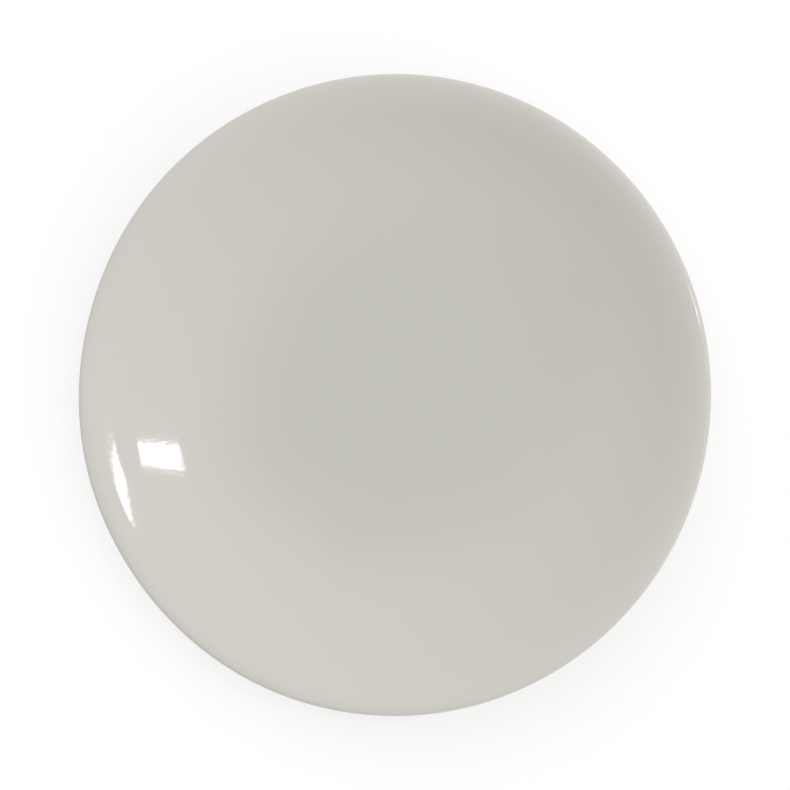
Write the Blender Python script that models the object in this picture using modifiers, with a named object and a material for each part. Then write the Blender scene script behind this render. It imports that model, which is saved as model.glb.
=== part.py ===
"""Glazed porcelain saucer of the coupe kind, built as it is made: one fired clay body and its coats of glaze.

The clay body carries the flat well, the curved wall, the flared lip and the foot ring. Glaze covers it twice:
one coat runs over the face, round the lip and down the back to the foot, and a second one lies in the recess
inside the foot ring. The tread of the ring stays bare, so the two coats never meet.

Metres, +Z up. The origin is the centre of the ring that the saucer stands on, at table height.
"""

import math

import bpy

# Finished sizes, measured over the glaze
SAUCER_DIAMETER = 0.155
SAUCER_HEIGHT = 0.0195
WELL_DIAMETER = 0.070  # flat floor that the cup stands on
KNEE_RUN = 0.006  # band round the well in which the face bends up
SHOULDER_RUN = 0.0052  # band outside the wall in which the face starts to turn over
ROLL_RUN = 0.0032  # band inside the crest in which the lip levels out
RECESS_DEPTH = 0.0024  # from the tread up to the glaze inside the foot ring
FOOT_FILLET = 0.0012  # where the glaze runs from the back and the recess into the foot ring

# Foot ring, bare clay
FOOT_DIAMETER = 0.090
FOOT_WIDTH = 0.0044
TREAD_ROUNDING = 0.0009
BARE_MARGIN = 0.0003  # clay left bare above the rounding of the tread

# Clay thicknesses
BASE_THICKNESS = 0.0036
WALL_THICKNESS = 0.0032
LIP_THICKNESS = 0.0010

# Glaze
GLAZE_THICKNESS = 0.0003
GLAZE_GAP = 0.0003  # hairline that keeps clay and glaze separate solids; fired, they are fused

# Slopes at the outer ends of the knee and the shoulder, as parts of the wall's steepest slope
KNEE_SHARE = 0.44
SHOULDER_SHARE = 0.61

# Facets
TURN_STEPS = 60
KNEE_STEPS = 2
WALL_STEPS = 4
SHOULDER_STEPS = 2
ROLL_STEPS = 3
LIP_STEPS = 8
FILLET_STEPS = 3
ROUNDING_STEPS = 3
SEARCH_STEPS = 60
MERGE_DISTANCE = 1e-5

# Finishes: colour, roughness
GLAZE_FINISH = ((0.56, 0.535, 0.495), 0.05)
BARE_CLAY_FINISH = ((0.60, 0.56, 0.49), 0.75)

# Places of the clay that follow from the sizes above
COAT = GLAZE_GAP + GLAZE_THICKNESS
WELL_RADIUS = WELL_DIAMETER / 2
RECESS_Z = RECESS_DEPTH + COAT
WELL_Z = RECESS_Z + BASE_THICKNESS
LIP_RADIUS = LIP_THICKNESS / 2
CREST_RADIUS = SAUCER_DIAMETER / 2 - COAT - LIP_RADIUS
CREST_Z = SAUCER_HEIGHT - COAT
FOOT_OUTER = FOOT_DIAMETER / 2
FOOT_INNER = FOOT_OUTER - FOOT_WIDTH

# Roundings, limited by the walls that they lie on
SPAN = CREST_RADIUS - WELL_RADIUS
KNEE_BAND = min(KNEE_RUN, SPAN / 4)
SHOULDER_BAND = min(SHOULDER_RUN, SPAN / 4)
ROLL_BAND = min(ROLL_RUN, SPAN / 4)
WALL_BAND = SPAN - KNEE_BAND - SHOULDER_BAND - ROLL_BAND
TREAD_CORNER = min(TREAD_ROUNDING, FOOT_WIDTH / 3)
BARE_HEIGHT = TREAD_CORNER + BARE_MARGIN


def bisect(function, low, high):
    """Where a function that is negative at low and positive at high crosses zero."""
    for _ in range(SEARCH_STEPS):
        middle = (low + high) / 2
        if function(middle) < 0:
            low = middle
        else:
            high = middle
    return (low + high) / 2


# Bands of the face from the well outwards: run, slope at its outer end as a part of the steepest one, facets
FACE_BANDS = (
    (KNEE_BAND, KNEE_SHARE, KNEE_STEPS),
    (WALL_BAND, 1.0, WALL_STEPS),
    (SHOULDER_BAND, SHOULDER_SHARE, SHOULDER_STEPS),
    (ROLL_BAND, 0.0, ROLL_STEPS),
)


def band_starts(steepest):
    """Distance, height and slope at the start of each band, and at the end of the last, for a steepest slope."""
    starts = [(WELL_RADIUS, WELL_Z, 0.0)]
    for run, share, _ in FACE_BANDS:
        radius, height, slope = starts[-1]
        end_slope = share * steepest
        starts.append((radius + run, height + run * math.tan((slope + end_slope) / 2), end_slope))
    return starts


def excess_height(steepest):
    """How far a face with this steepest slope ends above the crest of the lip."""
    return band_starts(steepest)[-1][1] - CREST_Z


# Every band is an arc that is tangent to the next: knee and wall curl up, shoulder and roll curl back to level
WALL_SLOPE = bisect(excess_height, 0.0, math.pi / 2)
BAND_STARTS = band_starts(WALL_SLOPE)


def face_at(radius):
    """Height and slope of the clay's face at a distance from the axis."""
    if radius <= WELL_RADIUS:
        return WELL_Z, 0.0
    for (start, height, first), (end, _, last) in zip(BAND_STARTS, BAND_STARTS[1:]):
        if radius <= end:
            break
    way = min(radius, end) - start
    slope = math.asin(math.sin(first) + (math.sin(last) - math.sin(first)) * way / (end - start))
    return height + way * math.tan((first + slope) / 2), slope


def clay_thickness(radius):
    """Thickness square to the face: that of the wall out to the well's edge, thinning smoothly to the lip."""
    share = min(1.0, max(0.0, (radius - WELL_RADIUS) / SPAN))
    blend = share * share * (3 - 2 * share)
    return WALL_THICKNESS + blend * (LIP_THICKNESS - WALL_THICKNESS)


def below_face(radius, extra=0.0):
    """Point on the clay's back, or this much further out of it, square under a point of the face."""
    height, slope = face_at(radius)
    depth = clay_thickness(radius) + extra
    return radius + depth * math.sin(slope), height - depth * math.cos(slope)


def spread(start, end, steps):
    """Evenly spread values from start to end, both included."""
    return [start + (end - start) * i / steps for i in range(steps + 1)]


def arc(centre, radius, start, end, steps):
    """Points along an arc; its angles turn from the outward direction towards +Z."""
    angles = spread(start, end, steps)
    return [(centre[0] + radius * math.cos(a), centre[1] + radius * math.sin(a)) for a in angles]


def joined(*stretches):
    """One profile from stretches that meet end to end, each point kept once."""
    points = []
    for stretch in stretches:
        for point in stretch:
            if not points or math.dist(point, points[-1]) > MERGE_DISTANCE:
                points.append(point)
    return points


def face_stations():
    """Distances from the axis at which the face is sampled, spread evenly over each band."""
    stations = [0.0, WELL_RADIUS]
    for (start, _, _), (end, _, _), (_, _, steps) in zip(BAND_STARTS, BAND_STARTS[1:], FACE_BANDS):
        stations += spread(start, end, steps)[1:]
    return stations


def back_fillet():
    """Station of the face over the upper end of the fillet between back and foot, and the fillet's radius."""
    free_flank = below_face(FOOT_OUTER)[1] - COAT - BARE_HEIGHT
    radius = COAT + min(FOOT_FILLET, free_flank / 2)
    station = bisect(lambda r: below_face(r, radius)[0] - FOOT_OUTER - radius, 0.0, CREST_RADIUS)
    return station, radius


def coated_outside():
    """Clay profile from the middle of the well, over the lip and down the back to the bare tread."""
    stations = face_stations()
    face = [(r, face_at(r)[0]) for r in stations]
    lip = arc((CREST_RADIUS, CREST_Z - LIP_RADIUS), LIP_RADIUS, math.pi / 2, -math.pi / 2, LIP_STEPS)
    junction, radius = back_fillet()
    back = [below_face(r) for r in reversed(stations) if r > junction]
    start = math.pi / 2 + face_at(junction)[1]
    fillet = arc(below_face(junction, radius), radius, start, math.pi, FILLET_STEPS)
    return joined(face, lip, back, fillet, [(FOOT_OUTER, BARE_HEIGHT)])


def bare_tread():
    """Clay profile round the tread of the foot ring, from its outer flank to its inner one."""
    outer_centre = (FOOT_OUTER - TREAD_CORNER, TREAD_CORNER)
    inner_centre = (FOOT_INNER + TREAD_CORNER, TREAD_CORNER)
    outer = arc(outer_centre, TREAD_CORNER, 0.0, -math.pi / 2, ROUNDING_STEPS)
    inner = arc(inner_centre, TREAD_CORNER, -math.pi / 2, -math.pi, ROUNDING_STEPS)
    return joined(outer, inner)


def coated_recess():
    """Clay profile inside the foot ring, from its inner flank to the middle of the underside."""
    radius = COAT + min(FOOT_FILLET, (RECESS_DEPTH - BARE_HEIGHT) / 2)
    fillet = arc((FOOT_INNER - radius, RECESS_Z - radius), radius, 0.0, math.pi / 2, FILLET_STEPS)
    return joined([(FOOT_INNER, BARE_HEIGHT)], fillet, [(0.0, RECESS_Z)])


def offset(profile, distance):
    """Profile moved to its left, out of the clay, square to itself at every point."""
    headings = [math.atan2(z1 - z0, r1 - r0) for (r0, z0), (r1, z1) in zip(profile, profile[1:])]
    before = headings[:1] + headings
    after = headings + headings[-1:]
    moved = []
    for (r, z), first, second in zip(profile, before, after):
        heading = first + math.remainder(second - first, math.tau) / 2
        moved.append((r - distance * math.sin(heading), z + distance * math.cos(heading)))
    return moved


def glaze_over(profile):
    """The two sides of a coat of glaze on a stretch of clay: the one next to the clay, and the open one."""
    return offset(profile, GLAZE_GAP), offset(profile, COAT)


def finish(name, look):
    """Material with a colour and a roughness."""
    colour, roughness = look
    material = bpy.data.materials.new(name)
    material.use_nodes = True
    shader = material.node_tree.nodes["Principled BSDF"]
    shader.inputs["Base Color"].default_value = (*colour, 1.0)
    shader.inputs["Roughness"].default_value = roughness
    shader.inputs["Metallic"].default_value = 0.0
    return material


def turned(name, profile, look, parent, collection):
    """Solid of revolution from a profile that starts and ends on the axis and runs down its outer side."""
    mesh = bpy.data.meshes.new(name)
    points = [(r, 0.0, z) for r, z in profile]
    mesh.from_pydata(points, [(i, i + 1) for i in range(len(points) - 1)], [])
    mesh.materials.append(finish(name + "_finish", look))
    piece = bpy.data.objects.new(name, mesh)
    piece.parent = parent
    collection.objects.link(piece)
    screw = piece.modifiers.new("Turn", "SCREW")
    screw.axis = "Z"
    screw.steps = TURN_STEPS
    screw.render_steps = TURN_STEPS
    screw.use_merge_vertices = True
    screw.merge_threshold = MERGE_DISTANCE
    screw.use_smooth_shade = True
    return piece


def main():
    for old in list(bpy.data.objects):
        bpy.data.objects.remove(old)
    collection = bpy.data.collections.new("Saucer")
    bpy.context.scene.collection.children.link(collection)
    root = bpy.data.objects.new("saucer_root", None)
    collection.objects.link(root)

    outside = coated_outside()
    recess = coated_recess()
    clay = joined(outside, bare_tread(), recess)
    turned("porcelain_body", clay, BARE_CLAY_FINISH, root, collection)

    clay_side, open_side = glaze_over(outside)
    turned("outer_glaze", open_side + clay_side[::-1], GLAZE_FINISH, root, collection)

    clay_side, open_side = glaze_over(recess)
    turned("recess_glaze", clay_side[::-1] + open_side, GLAZE_FINISH, root, collection)

    print("Steepest slope of the wall, degrees:", round(math.degrees(WALL_SLOPE), 2))
    print("Ends of the knee, wall, shoulder and roll, mm from the axis and high:")
    print([(round(r * 1000, 2), round(z * 1000, 2)) for r, z, _ in BAND_STARTS[1:]])


main()
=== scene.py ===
# %% [markdown]
# # A white glazed saucer
#
# This lesson dresses a plain porcelain saucer. The turned solids come in as a fixed frame: one clay body
# and two coats of glaze. On the real saucer the glaze is a layer of glass that melted onto the clay, so
# everything you see from above is glaze, and bare clay shows only on the ring that stands on the table.
# Each solid is replaced by a finer turned piece that follows the same sizes, with fair curves, because a
# glossy surface shows every facet.

import math

import bmesh
import bpy
from mathutils import Matrix, Vector, noise


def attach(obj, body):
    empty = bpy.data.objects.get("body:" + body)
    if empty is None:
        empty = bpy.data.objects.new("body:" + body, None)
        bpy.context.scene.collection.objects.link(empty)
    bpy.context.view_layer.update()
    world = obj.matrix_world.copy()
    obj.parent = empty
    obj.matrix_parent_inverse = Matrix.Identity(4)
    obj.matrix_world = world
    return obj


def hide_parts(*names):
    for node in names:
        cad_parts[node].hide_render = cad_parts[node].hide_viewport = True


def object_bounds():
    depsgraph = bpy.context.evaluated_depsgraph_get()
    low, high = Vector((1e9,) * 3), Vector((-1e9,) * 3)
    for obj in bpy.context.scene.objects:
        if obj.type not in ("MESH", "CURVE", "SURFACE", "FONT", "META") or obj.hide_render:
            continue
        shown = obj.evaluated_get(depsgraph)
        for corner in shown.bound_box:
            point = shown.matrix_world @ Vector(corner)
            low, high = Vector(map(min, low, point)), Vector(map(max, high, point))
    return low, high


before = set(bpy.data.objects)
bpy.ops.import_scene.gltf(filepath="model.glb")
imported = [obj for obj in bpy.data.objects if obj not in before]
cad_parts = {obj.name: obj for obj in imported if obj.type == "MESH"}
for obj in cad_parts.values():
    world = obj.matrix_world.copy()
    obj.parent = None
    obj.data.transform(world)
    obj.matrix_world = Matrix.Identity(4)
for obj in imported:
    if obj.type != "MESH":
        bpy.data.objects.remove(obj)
cad_low, cad_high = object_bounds()
print("Solids:", sorted(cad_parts))
print("Box, mm:", [round(1000 * v, 2) for v in (*cad_low, *cad_high)])

# %% [markdown]
# ## Camera
#
# The camera comes first, because everything else is judged through it. The picture looks almost straight
# down: the outline is an ellipse whose short axis runs nearly left to right, so the camera leans a little
# to the right. The ratio of its axes gives the lean. From this near, the side of the rim that is closer
# to the lens looks larger, so the middle of the ellipse isn't the middle of the rim: the shift follows
# from the lean and the distance.

# %% Camera
PICTURE_SIDE = 790
OUTLINE_HALF = 321.2  # half the long axis of the outline, in pixels
OUTLINE_CENTRE = (394.9, 395.35)  # in pixels, from the top left
CAMERA_DISTANCE = 0.40
TO_CAMERA = Vector((0.172, -0.018, 0.985)).normalized()
SENSOR = 36.0
NEAREST = 0.05
RIM_BELOW_CREST = 0.0011

rim_radius = (cad_high.x - cad_low.x) / 2
rim_centre = Vector((0.0, 0.0, cad_high.z - RIM_BELOW_CREST))
lean = Vector((TO_CAMERA.x, TO_CAMERA.y, 0.0))
sight = math.sqrt(CAMERA_DISTANCE**2 - (rim_radius * lean.length) ** 2)
focal_pixels = OUTLINE_HALF * sight / rim_radius
near_shift = OUTLINE_HALF * rim_radius * lean.length * TO_CAMERA.z / sight
right = Vector((0.0, 1.0, 0.0)).cross(TO_CAMERA).normalized()
up = TO_CAMERA.cross(right)
toward = Vector((lean.dot(right), lean.dot(up))).normalized()
rim_x = OUTLINE_CENTRE[0] - near_shift * toward.x
rim_y = OUTLINE_CENTRE[1] + near_shift * toward.y
metres_per_pixel = CAMERA_DISTANCE / focal_pixels
aim = rim_centre + right * (PICTURE_SIDE / 2 - rim_x) * metres_per_pixel
aim += up * (rim_y - PICTURE_SIDE / 2) * metres_per_pixel

camera = bpy.data.objects.new("camera", bpy.data.cameras.new("camera"))
bpy.context.scene.collection.objects.link(camera)
camera.data.sensor_width = SENSOR
camera.data.lens = SENSOR * focal_pixels / PICTURE_SIDE
camera.data.clip_start = NEAREST
camera.location = aim + TO_CAMERA * CAMERA_DISTANCE
camera.rotation_mode = "QUATERNION"
camera.rotation_quaternion = Matrix((right, up, TO_CAMERA)).transposed().to_quaternion()
bpy.context.scene.camera = camera
print("Lens, mm:", round(camera.data.lens, 1), "shift of the near side, pixels:", round(near_shift, 1))

# %% [markdown]
# ## The turned profile
#
# A saucer is thrown or pressed on a wheel, so one curve describes it. Reflections slide along that curve,
# and they show a kink wherever its bend changes suddenly. Tangent arcs would do for the shape, but not
# for the shine. So the face is written as a slope that changes along the way out, the slope is smoothed,
# and the height follows by adding it up. The back is the face moved down, square to itself, by a wall
# that thins towards the lip.

# %% Sizes of the clay, in metres
GLAZE_COAT = 0.0006
WELL_RADIUS = 0.035
WELL_HEIGHT = 0.0066
KNEE_END = 0.0431
WALL_END = 0.0682
SHOULDER_END = 0.0745
KNEE_SHARE = 0.36
SHOULDER_SHARE = 0.63
LIP_THICKNESS = 0.0010
WALL_THICKNESS = 0.0032
CREST_RADIUS = rim_radius - GLAZE_COAT - LIP_THICKNESS / 2
CREST_HEIGHT = cad_high.z - GLAZE_COAT
print("Crest of the clay, mm:", round(1000 * CREST_RADIUS, 2), "out,", round(1000 * CREST_HEIGHT, 2), "high")

# %% Slope and height of the face
FACE_STEP = 0.00025
SMOOTHING = 0.0012
SMOOTHING_SAMPLES = 17
STEEPEST_TRIED = 1.2  # radians
SEARCH_STEPS = 40

# Distance from the axis, and the slope there as a share of the steepest one
SLOPE_STATIONS = (
    (0.0, 0.0),
    (WELL_RADIUS, 0.0),
    (KNEE_END, KNEE_SHARE),
    (WALL_END, 1.0),
    (SHOULDER_END, SHOULDER_SHARE),
    (CREST_RADIUS, 0.0),
)


def between(stations, place):
    """Value at a place on a line of straight stretches."""
    for (x0, y0), (x1, y1) in zip(stations, stations[1:]):
        if place <= x1:
            return y0 + (y1 - y0) * (place - x0) / (x1 - x0)
    return stations[-1][1]


def slope_share(radius):
    """Slope at a distance from the axis, averaged over a short stretch so that the bend changes gently."""
    reach = min(SMOOTHING, CREST_RADIUS - radius)
    middle = SMOOTHING_SAMPLES // 2
    places = [radius + reach * (i - middle) / middle for i in range(SMOOTHING_SAMPLES)]
    return sum(between(SLOPE_STATIONS, abs(p)) for p in places) / SMOOTHING_SAMPLES


face_count = round(CREST_RADIUS / FACE_STEP)
face_radii = [CREST_RADIUS * i / face_count for i in range(face_count + 1)]
face_shares = [slope_share(r) for r in face_radii]


def climb(steepest):
    """Heights of the face above the well for a steepest slope in radians."""
    heights = [0.0]
    step = CREST_RADIUS / face_count
    for first, second in zip(face_shares, face_shares[1:]):
        heights.append(heights[-1] + step * math.tan(steepest * (first + second) / 2))
    return heights


low, high = 0.0, STEEPEST_TRIED
for _ in range(SEARCH_STEPS):
    steepest = (low + high) / 2
    if climb(steepest)[-1] < CREST_HEIGHT - WELL_HEIGHT:
        low = steepest
    else:
        high = steepest
face_heights = [WELL_HEIGHT + h for h in climb(steepest)]
print("Steepest slope, degrees:", round(math.degrees(steepest), 2))

# %% [markdown]
# The rest of the clay's outline follows: a round lip, the back, a fillet that rolls into the foot ring,
# the tread and the recess. Each is a short line of points, and the glaze starts and stops at known places
# on them. Points are close together only where the line bends, because every point costs a whole ring of
# faces.

# %% Lines of points
SAME_POINT = 1e-6


def arc(centre, radius, start, end, steps):
    """Points along an arc, both ends included."""
    turns = [start + (end - start) * i / steps for i in range(steps + 1)]
    return [(centre[0] + radius * math.cos(t), centre[1] + radius * math.sin(t)) for t in turns]


def straight(start, end, spacing):
    """Points along a straight stretch, both ends included."""
    steps = max(1, round(math.dist(start, end) / spacing))
    shares = [i / steps for i in range(steps + 1)]
    return [(start[0] + (end[0] - start[0]) * s, start[1] + (end[1] - start[1]) * s) for s in shares]


def joined(*stretches):
    """Stretches that meet end to end as one line, each point once."""
    points = []
    for stretch in stretches:
        points += [p for p in stretch if not points or math.dist(p, points[-1]) > SAME_POINT]
    return points


def thinned(points, spacing):
    """A line with points no closer than a spacing, its ends kept."""
    kept = [points[0]]
    for point in points[1:-1]:
        if math.dist(point, kept[-1]) >= spacing and math.dist(point, points[-1]) >= spacing / 2:
            kept.append(point)
    return kept + [points[-1]]


# %% Outside of the clay, from the middle of the well to the bare tread
FOOT_OUTER = 0.045
FOOT_FILLET = 0.0018
BARE_HEIGHT = 0.0012
LIP_STEPS = 24
FILLET_STEPS = 12
WELL_SPACING = 0.0025
FACE_SPACING = 0.00045
BACK_SPACING = 0.0010
FLANK_SPACING = 0.00015


def eased(value, start, end):
    """Smooth step from 0 at start to 1 at end."""
    share = min(1.0, max(0.0, (value - start) / (end - start)))
    return share * share * (3 - 2 * share)


def back_point(index, extra=0.0):
    """Point under the face, square to it, on the back or this much further out."""
    radius = face_radii[index]
    thinning = eased(radius, WELL_RADIUS, CREST_RADIUS)
    depth = WALL_THICKNESS + thinning * (LIP_THICKNESS - WALL_THICKNESS) + extra
    slope = steepest * face_shares[index]
    return radius + depth * math.sin(slope), face_heights[index] - depth * math.cos(slope)


junction = next(i for i in range(face_count) if back_point(i, FOOT_FILLET)[0] >= FOOT_OUTER + FOOT_FILLET)
fillet_centre = (FOOT_OUTER + FOOT_FILLET, back_point(junction, FOOT_FILLET)[1])
fillet_start = math.pi / 2 + steepest * face_shares[junction]
lip_radius = LIP_THICKNESS / 2

face_line = list(zip(face_radii, face_heights))
flat_end = next(i for i, share in enumerate(face_shares) if share > 0)
well_line = thinned(face_line[: flat_end + 1], WELL_SPACING)
wall_line = thinned(face_line[flat_end:], FACE_SPACING)
lip_line = arc((CREST_RADIUS, CREST_HEIGHT - lip_radius), lip_radius, math.pi / 2, -math.pi / 2, LIP_STEPS)
back_line = thinned([back_point(i) for i in range(face_count, junction, -1)], BACK_SPACING)
fillet_line = arc(fillet_centre, FOOT_FILLET, fillet_start, math.pi, FILLET_STEPS)
flank_line = straight(fillet_line[-1], (FOOT_OUTER, BARE_HEIGHT), FLANK_SPACING)
outside = joined(well_line, wall_line, lip_line, back_line, fillet_line, flank_line)
print("Points outside:", len(outside))

# %% Tread and recess of the foot ring
FOOT_INNER = 0.0406
TREAD_ROUNDING = 0.0009
RECESS_HEIGHT = 0.0030
RECESS_FILLET = 0.0012
TREAD_STEPS = 8
RING_SPACING = 0.0005

tread = joined(
    arc((FOOT_OUTER - TREAD_ROUNDING, TREAD_ROUNDING), TREAD_ROUNDING, 0.0, -math.pi / 2, TREAD_STEPS),
    arc((FOOT_INNER + TREAD_ROUNDING, TREAD_ROUNDING), TREAD_ROUNDING, -math.pi / 2, -math.pi, TREAD_STEPS),
)
recess_corner = (FOOT_INNER - RECESS_FILLET, RECESS_HEIGHT - RECESS_FILLET)
recess = joined(
    straight((FOOT_INNER, BARE_HEIGHT), (FOOT_INNER, recess_corner[1]), FLANK_SPACING),
    arc(recess_corner, RECESS_FILLET, 0.0, math.pi / 2, FILLET_STEPS),
    straight((recess_corner[0], RECESS_HEIGHT), (0.0, RECESS_HEIGHT), RING_SPACING),
)
print("Points on the tread and in the recess:", len(tread), len(recess))

# %% [markdown]
# ## Turning and firing
#
# `bmesh.ops.spin` turns a line of edges round the axis, as a wheel does. Where the line starts and ends
# on the axis the copies of that point fall on each other, so doubles are merged and the normals are
# worked out afterwards. A thin coat can come out of that inside out, which shows as a volume below zero,
# and then its faces are reversed.
#
# No saucer leaves the kiln as true as it left the wheel. The lip of this one leans, sags at the lower
# left and waves on its left side, each by less than half a millimetre, which adds up to about one where
# the lip is lowest. You hardly see that as a shape, but you see it at once in the shine: it stretches the
# reflection of the window along the lip. Bump in the material would bend the shine as well, but only real
# shape holds from every side, so the warp is put into the mesh, where it fades in between the wall and
# the lip.

# %% Warp of the fired lip
LEAN_HEIGHT = 0.0004
LEAN_HEADING = math.radians(56.1)
LEAN_FROM = 0.0645
LIP_WAVES = 6
WAVE_HEIGHT = 0.0004
WAVE_HEADING = math.radians(190.7)
WAVE_NARROWNESS = 4
WAVES_FROM = 0.0637
WAVES_FULL = 0.0717
SAG_DEPTH = 0.0004
SAG_HEADING = math.radians(229.0)
SAG_NARROWNESS = 2
SAG_FROM = 0.0730


def warped(place):
    """A place on a true turning, moved to where the fired clay has it."""
    radius = math.hypot(place.x, place.y)
    heading = math.atan2(place.y, place.x)
    lean = LEAN_HEIGHT * math.cos(heading - LEAN_HEADING)
    turn = heading - WAVE_HEADING
    wave = WAVE_HEIGHT * ((1 + math.cos(turn)) / 2) ** WAVE_NARROWNESS * math.cos(LIP_WAVES * turn)
    sag = SAG_DEPTH * max(0.0, math.cos(heading - SAG_HEADING)) ** SAG_NARROWNESS
    rise = lean * eased(radius, LEAN_FROM, rim_radius) + wave * eased(radius, WAVES_FROM, WAVES_FULL)
    rise -= sag * max(0.0, (radius - SAG_FROM) / (rim_radius - SAG_FROM)) ** 2
    return Vector((place.x, place.y, place.z + rise))


rim_turns = [math.radians(degrees) for degrees in range(360)]
rim_places = [Vector((rim_radius * math.cos(turn), rim_radius * math.sin(turn), 0.0)) for turn in rim_turns]
rim_rises = [1000 * warped(place).z for place in rim_places]
print("Rise of the rim, mm:", round(min(rim_rises), 2), "to", round(max(rim_rises), 2))

# %% Turn a piece
TURN_STEPS = 216


def turned(name, line, fired):
    """Closed piece turned from a line that starts and ends on the axis, each point moved by the firing."""
    shape = bmesh.new()
    points = [shape.verts.new((max(r, 0.0), 0.0, z)) for r, z in line]
    edges = [shape.edges.new(pair) for pair in zip(points, points[1:])]
    bmesh.ops.spin(
        shape,
        geom=points + edges,
        cent=(0, 0, 0),
        axis=(0, 0, 1),
        angle=math.tau,
        steps=TURN_STEPS,
        use_merge=True,
    )
    bmesh.ops.remove_doubles(shape, verts=shape.verts[:], dist=SAME_POINT)
    bmesh.ops.recalc_face_normals(shape, faces=shape.faces[:])
    if shape.calc_volume(signed=True) < 0:
        bmesh.ops.reverse_faces(shape, faces=shape.faces[:])
    for vert in shape.verts:
        vert.co = fired(vert.co)
    for face in shape.faces:
        face.smooth = True
    mesh = bpy.data.meshes.new(name)
    shape.to_mesh(mesh)
    shape.free()
    piece = bpy.data.objects.new(name, mesh)
    bpy.context.scene.collection.objects.link(piece)
    mesh.calc_loop_triangles()
    print(name, "triangles:", len(mesh.loop_triangles))
    return piece


INNER_SPACING = 0.0012
clay_line = joined(thinned(outside, INNER_SPACING), tread, thinned(recess, INNER_SPACING))
clay = turned("clay_body", clay_line, warped)

# %% [markdown]
# ## The coats of glaze
#
# Glaze flows while it melts. It lies evenly on the clay, rounds off where it was wiped away above the
# tread, and swells slightly into a bead just before that edge. The coat is the clay's own line moved
# outwards, with a thickness that depends on the distance to its edge. Its inner side lies a hair's breadth
# off the clay, so that the two surfaces never show through each other.
#
# The wiping is done by hand with a sponge while the foot spins, so the edge wavers a little. The recess
# keeps faint rings from the tool that shaped it, a few thousandths of a millimetre deep under the glaze.

# %% Thickness of a coat
GLAZE_SEAT = 0.00002
EDGE_ROUNDING = 0.0005
EDGE_BEAD = 0.00008
BEAD_PLACE = 0.0011
BEAD_WIDTH = 0.0006


def moved_out(line, distances):
    """A line moved to its left, square to itself, by a distance given for each point."""
    headings = [math.atan2(z1 - z0, r1 - r0) for (r0, z0), (r1, z1) in zip(line, line[1:])]
    moved = []
    for i, (r, z) in enumerate(line):
        first = headings[max(i - 1, 0)]
        turn = math.remainder(headings[min(i, len(headings) - 1)] - first, math.tau)
        heading = first + turn / 2
        moved.append((r - distances[i] * math.sin(heading), z + distances[i] * math.cos(heading)))
    return moved


def coat_thickness(to_edge):
    """Thickness of the glaze at a distance from its wiped edge."""
    rounding = min(1.0, to_edge / EDGE_ROUNDING)
    bead = EDGE_BEAD * math.exp(-(((to_edge - BEAD_PLACE) / BEAD_WIDTH) ** 2))
    return GLAZE_SEAT + (GLAZE_COAT - GLAZE_SEAT + bead) * math.sqrt(1 - (1 - rounding) ** 2)


def along(line):
    """Distance of each point from the start of a line."""
    total = [0.0]
    for first, second in zip(line, line[1:]):
        total.append(total[-1] + math.dist(first, second))
    return total


print("Glaze at its bead, mm:", round(1000 * coat_thickness(BEAD_PLACE), 3))

# %% Wiped edge and tool rings
WIPE_REACH = 0.0024
WIPE_WAVER = 0.0003
WIPE_FINENESS = 190.0
RING_PITCH = 0.0021
RING_DEPTH = 0.000004


def wiped(place):
    """A place on a coat, warped like the clay, with the coat's edge wavering as it was wiped."""
    near_edge = eased(place.z, WIPE_REACH, BARE_HEIGHT)
    moved = warped(place)
    moved.z += WIPE_WAVER * near_edge * noise.noise(place * WIPE_FINENESS)
    return moved


def ringed(line):
    """A line in the recess with the rings that the shaping tool left."""
    inside = [eased(z, RECESS_HEIGHT - RECESS_FILLET, RECESS_HEIGHT) for _, z in line]
    return [(r, z + RING_DEPTH * s * math.cos(math.tau * r / RING_PITCH)) for (r, z), s in zip(line, inside)]


print("Rings in the recess:", round(recess_corner[0] / RING_PITCH))

# %% Coats of glaze


def way_back(line):
    """Inner side of a coat, just off the clay, from the end of the clay's line to its start."""
    seat = thinned(line, INNER_SPACING)
    return moved_out(seat, [GLAZE_SEAT] * len(seat))[::-1]


outside_way = along(outside)
open_side = moved_out(outside, [coat_thickness(outside_way[-1] - way) for way in outside_way])
outer_glaze = turned("face_and_back_glaze", open_side + way_back(outside), wiped)

open_side = moved_out(ringed(recess), [coat_thickness(way) for way in along(recess)])
recess_glaze = turned("recess_glaze_coat", way_back(recess) + open_side, wiped)

# %% [markdown]
# ## Shader maths
#
# Two small classes keep the materials readable: a wire carries a socket through Python arithmetic, and a
# graph makes every other node through one method.

# %% Wires and graphs


class Wire:
    """An output socket that takes part in arithmetic by adding Math nodes."""

    def __init__(self, graph, socket):
        self.graph = graph
        self.socket = socket

    def math(self, operation, first, second):
        return self.graph.node("ShaderNodeMath", {"operation": operation}, {0: first, 1: second})

    def __add__(self, other):
        return self.math("ADD", self, other)

    def __radd__(self, other):
        return self.math("ADD", other, self)

    def __sub__(self, other):
        return self.math("SUBTRACT", self, other)

    def __rsub__(self, other):
        return self.math("SUBTRACT", other, self)

    def __mul__(self, other):
        return self.math("MULTIPLY", self, other)

    def __rmul__(self, other):
        return self.math("MULTIPLY", other, self)

    def __pow__(self, other):
        return self.math("POWER", self, other)

    def __rpow__(self, other):
        return self.math("POWER", other, self)

    def larger(self, other):
        return self.math("MAXIMUM", self, other)


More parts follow.
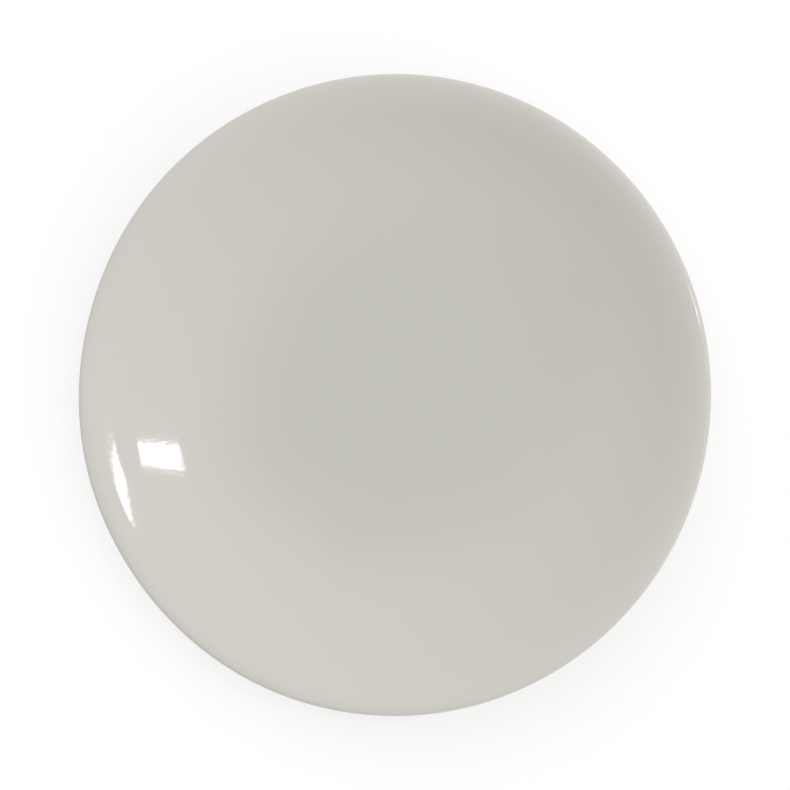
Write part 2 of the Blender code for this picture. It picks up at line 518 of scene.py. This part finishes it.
class Graph:
    """A node tree and the one method that adds nodes to it."""

    def __init__(self, tree):
        self.tree = tree
        tree.nodes.clear()

    def node(self, kind, settings=None, sockets=None, output=0):
        made = self.tree.nodes.new(kind)
        for name, value in (settings or {}).items():
            setattr(made, name, value)
        for name, value in (sockets or {}).items():
            if isinstance(value, Wire):
                self.tree.links.new(value.socket, made.inputs[name])
            else:
                made.inputs[name].default_value = value
        return Wire(self, made.outputs[output]) if len(made.outputs) else made

    def ramp(self, value, start, end):
        """Smooth step from 0 at start to 1 at end."""
        sockets = {"Value": value, "From Min": start, "From Max": end}
        return self.node("ShaderNodeMapRange", {"interpolation_type": "SMOOTHSTEP"}, sockets)

    def noise(self, place, scale, detail):
        return self.node("ShaderNodeTexNoise", {}, {"Vector": place, "Scale": scale, "Detail": detail})

    def mix(self, share, first, second):
        """Colour between two colours."""
        sockets = {0: share, 6: first, 7: second}
        return self.node("ShaderNodeMix", {"data_type": "RGBA"}, sockets, output=2)

    def bump(self, height, distance):
        return self.node("ShaderNodeBump", {}, {"Strength": 1.0, "Distance": distance, "Height": height})

    def object_place(self):
        """Object coordinates, and their three parts."""
        place = self.node("ShaderNodeTexCoord", output="Object")
        parts = self.node("ShaderNodeSeparateXYZ", {}, {0: place}).socket.node.outputs
        return place, *(Wire(self, part) for part in parts)

    def seen(self):
        """1 for rays that show a surface to the camera, straight or in a reflection."""
        rays = self.node("ShaderNodeLightPath").socket.node.outputs
        kinds = ("Is Camera Ray", "Is Glossy Ray", "Is Transmission Ray")
        camera_ray, glossy_ray, transmission_ray = (Wire(self, rays[kind]) for kind in kinds)
        return camera_ray.larger(glossy_ray).larger(transmission_ray)


def new_graph(name):
    """A material and its empty graph."""
    material = bpy.data.materials.new(name)
    material.use_nodes = True
    return material, Graph(material.node_tree)


# %% [markdown]
# ## White glaze
#
# White glaze isn't one flat white. It pools in the well, where it looks a little greener, and the well is
# also darkened there by painted shade in the same tone, which reaches the recess underneath as well. The
# border of that pool wanders. Clouds of slightly thicker and thinner glaze cross the rest. Its surface is
# smooth but never optically flat: fine waves roughen the edges of reflected lamps. A clear coat over a matt
# base could be built for this, but one glossy shader does as well and exports whole: its base carries the
# colour of the clay seen through the glaze, and its reflection is the glass.

# %% White glaze
WALL_TONE = (0.556, 0.530, 0.492, 1.0)
# Darker, greener tone of the well: pooled glaze, with painted shade in it.
POOL_AND_SHADE_TONE = (0.504, 0.497, 0.446, 1.0)
CLOUD_SIZE = 38.0
CLOUD_DETAIL = 3.0
CLOUD_SHARE = 0.10
DRIFT_SIZE = 16.0
DRIFT_DETAIL = 2.0
DRIFT_REACH = 0.030
NOISE_MIDDLE = 0.5
POOL_AND_SHADE_CENTRE = (0.004, 0.001)
POOL_AND_SHADE_INSIDE = 0.026
POOL_AND_SHADE_OUTSIDE = 0.056
PEEL_SIZE = 900.0
PEEL_DETAIL = 2.0
PEEL_DEPTH = 0.0000085
SMOOTHEST = 0.055
SMOOTHNESS_SPREAD = 0.02
GLASS_IOR = 1.5

glaze, g = new_graph("white_glaze")
place, x, y, _ = g.object_place()
pool_and_shade_x, pool_and_shade_y = x - POOL_AND_SHADE_CENTRE[0], y - POOL_AND_SHADE_CENTRE[1]
radius = (pool_and_shade_x * pool_and_shade_x + pool_and_shade_y * pool_and_shade_y) ** 0.5
cloud = g.noise(place, CLOUD_SIZE, CLOUD_DETAIL)
drift = g.noise(place, DRIFT_SIZE, DRIFT_DETAIL)
# Painted shade: this mask darkens the well and the recess, as well as greening them like pooled glaze.
pool_and_shade = 1 - g.ramp(radius + DRIFT_REACH * (drift - NOISE_MIDDLE), POOL_AND_SHADE_INSIDE, POOL_AND_SHADE_OUTSIDE)
wall_colour = g.mix(CLOUD_SHARE * cloud, WALL_TONE, POOL_AND_SHADE_TONE)
peel = g.noise(place, PEEL_SIZE, PEEL_DETAIL)
gloss = g.node("ShaderNodeBsdfPrincipled", {}, {
    "Base Color": g.mix(pool_and_shade, wall_colour, POOL_AND_SHADE_TONE),
    "Roughness": SMOOTHEST + SMOOTHNESS_SPREAD * cloud,
    "IOR": GLASS_IOR,
    "Normal": g.bump(peel, PEEL_DEPTH),
})
g.node("ShaderNodeOutputMaterial", {}, {"Surface": gloss})
print("Glaze nodes:", len(g.tree.nodes))

# %% [markdown]
# ## Bare clay
#
# The tread was wiped before firing. It is matt and slightly gritty, and a little warmer right under the
# edge of the glaze, where the flame coloured it. Standing on tables has polished it in patches and left
# them greyer. Noise at two sizes gives the grit and the patches, and the height above the table gives the
# warm line, so nothing has to be painted by hand.

# %% Bare clay
CLAY_TONE = (0.60, 0.56, 0.49, 1.0)
CLAY_SHADE = (0.47, 0.43, 0.37, 1.0)
FLASH_TONE = (0.55, 0.44, 0.32, 1.0)
FLASH_SHARE = 0.5
FLASH_FROM = 0.0007
FLASH_FULL = 0.0012
GRAIN_SIZE = 2600.0
GRAIN_DETAIL = 3.0
GRAIN_DEPTH = 0.000024
STAIN_SIZE = 120.0
STAIN_DETAIL = 4.0
STAIN_SHARE = 0.5
MATT = 0.7
MATT_SPREAD = 0.2
CLAY_SPECULAR = 0.3

bare_clay, g = new_graph("bare_porcelain")
place, _, _, z = g.object_place()
grain = g.noise(place, GRAIN_SIZE, GRAIN_DETAIL)
stain = g.noise(place, STAIN_SIZE, STAIN_DETAIL)
worn = g.mix(STAIN_SHARE * grain * stain, CLAY_TONE, CLAY_SHADE)
matt = g.node("ShaderNodeBsdfPrincipled", {}, {
    "Base Color": g.mix(FLASH_SHARE * g.ramp(z, FLASH_FROM, FLASH_FULL), worn, FLASH_TONE),
    "Roughness": MATT + MATT_SPREAD * grain,
    "Specular IOR Level": CLAY_SPECULAR,
    "Normal": g.bump(grain, GRAIN_DEPTH),
})
g.node("ShaderNodeOutputMaterial", {}, {"Surface": matt})
print("Clay nodes:", len(g.tree.nodes))

# %% [markdown]
# ## Dressing the frame
#
# Each new piece takes the place of one solid: it moves with the same body, hides the solid that it
# replaces, and gets the material made above for that solid's slot, whose name is only printed. So the sizes
# of the solids stay in charge.

# %% Dress the pieces
for piece, node, slot, material in (
    (clay, "porcelain_body", "bare_porcelain", bare_clay),
    (outer_glaze, "outer_glaze", "glaze", glaze),
    (recess_glaze, "recess_glaze", "glaze", glaze),
):
    piece.data.materials.append(material)
    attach(piece, "root")
    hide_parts(node)
    print(piece.name, "stands for", node, "in", slot)

# %% [markdown]
# ## Floor and light
#
# The saucer lies on white. A floor that is white by itself would need strong light, which would bleach
# the saucer. So the floor adds a little glow where the camera sees it, straight or in a reflection, and
# still takes the saucer's shadow. The room is pale, brighter to the upper right and at the two ends
# across from there, and one window-like lamp makes the sharp reflections in the glaze.

# %% Floor
FLOOR_SIDE = 6.0
WHITE = (1.0, 1.0, 1.0, 1.0)
FLOOR_WHITE = (0.8, 0.8, 0.8, 1.0)
SEEN_WHITE = (0.40, 0.40, 0.40, 1.0)
FLOOR_GLOW = 0.60

shape = bmesh.new()
bmesh.ops.create_grid(shape, x_segments=1, y_segments=1, size=FLOOR_SIDE / 2)
mesh = bpy.data.meshes.new("floor")
shape.to_mesh(mesh)
shape.free()
floor = bpy.data.objects.new("floor", mesh)
bpy.context.scene.collection.objects.link(floor)

white_floor, g = new_graph("white_floor")
paper = g.node("ShaderNodeBsdfDiffuse", {}, {"Color": SEEN_WHITE})
glow = g.node("ShaderNodeEmission", {}, {"Color": WHITE, "Strength": FLOOR_GLOW})
lit = g.node("ShaderNodeAddShader", {}, {0: paper, 1: glow})
plain = g.node("ShaderNodeBsdfDiffuse", {}, {"Color": FLOOR_WHITE})
both = g.node("ShaderNodeMixShader", {}, {0: g.seen(), 1: plain, 2: lit})
g.node("ShaderNodeOutputMaterial", {}, {"Surface": both})
floor.data.materials.append(white_floor)
print("Floor side, m:", FLOOR_SIDE)

# %% Room light
ROOM_LEVEL = 1.009
ROOM_LEAN = 0.474
ROOM_ENDS = 0.7
ROOM_DARKEST = 0.1
BRIGHT_SIDE = Vector((0.792, 0.610, 0.0))
BRIGHT_ENDS = Vector((-0.610, 0.792, 0.0))
NEAR_TINT = (0.985, 1.025, 0.985, 1.0)
FAR_TINT = (1.015, 0.975, 1.015, 1.0)

world = bpy.data.worlds.new("room")
world.use_nodes = True
bpy.context.scene.world = world
g = Graph(world.node_tree)
direction = g.node("ShaderNodeTexCoord", output="Generated")
side, end = (
    g.node("ShaderNodeVectorMath", {"operation": "DOT_PRODUCT"}, {0: direction, 1: way}, output="Value")
    for way in (BRIGHT_SIDE, BRIGHT_ENDS)
)
depth = Wire(g, g.node("ShaderNodeSeparateXYZ", {}, {0: direction}).socket.node.outputs["Y"])
far_share = (1 + depth) * 0.5  # 0 in front, 1 at the back
tint = g.mix(far_share, NEAR_TINT, FAR_TINT)
seen = g.seen()
level = 1 + ROOM_LEAN * side + ROOM_ENDS * (end * end - side * side)
strength = seen + (1 - seen) * (ROOM_LEVEL * level.larger(ROOM_DARKEST))
room = g.node("ShaderNodeBackground", {}, {"Color": g.mix(seen, tint, WHITE), "Strength": strength})
g.node("ShaderNodeOutputWorld", {}, {"Surface": room})
print("Room nodes:", len(g.tree.nodes))

# %% Window lamp
WINDOW_HEADING = math.radians(22.3)
WINDOW_FROM_ZENITH = math.radians(25.22)
WINDOW_ROLL = math.radians(-16.0)
WINDOW_DISTANCE = 1.2
WINDOW_SIZE = (0.068, 0.288)
WINDOW_RADIANCE = 17.0

to_window = Vector((
    math.sin(WINDOW_FROM_ZENITH) * math.cos(WINDOW_HEADING),
    math.sin(WINDOW_FROM_ZENITH) * math.sin(WINDOW_HEADING),
    math.cos(WINDOW_FROM_ZENITH),
))
level_side = Vector((0.0, 0.0, 1.0)).cross(to_window).normalized()
across = Matrix.Rotation(WINDOW_ROLL, 3, to_window) @ level_side
upright = to_window.cross(across)

lamp = bpy.data.lights.new("window", "AREA")
lamp.shape = "RECTANGLE"
lamp.size, lamp.size_y = WINDOW_SIZE
lamp.energy = WINDOW_RADIANCE * math.pi * lamp.size * lamp.size_y
window = bpy.data.objects.new("window", lamp)
bpy.context.scene.collection.objects.link(window)
window.location = to_window * WINDOW_DISTANCE
window.rotation_mode = "QUATERNION"
window.rotation_quaternion = Matrix((across, upright, to_window)).transposed().to_quaternion()
print("Window power, W:", round(lamp.energy, 2))

# %% [markdown]
# ## Finish
#
# The Standard view shows each colour about as it is written. Dressing must not change the size: only the
# warp of the lip may show.

# %% View
bpy.context.scene.view_settings.view_transform = "Standard"
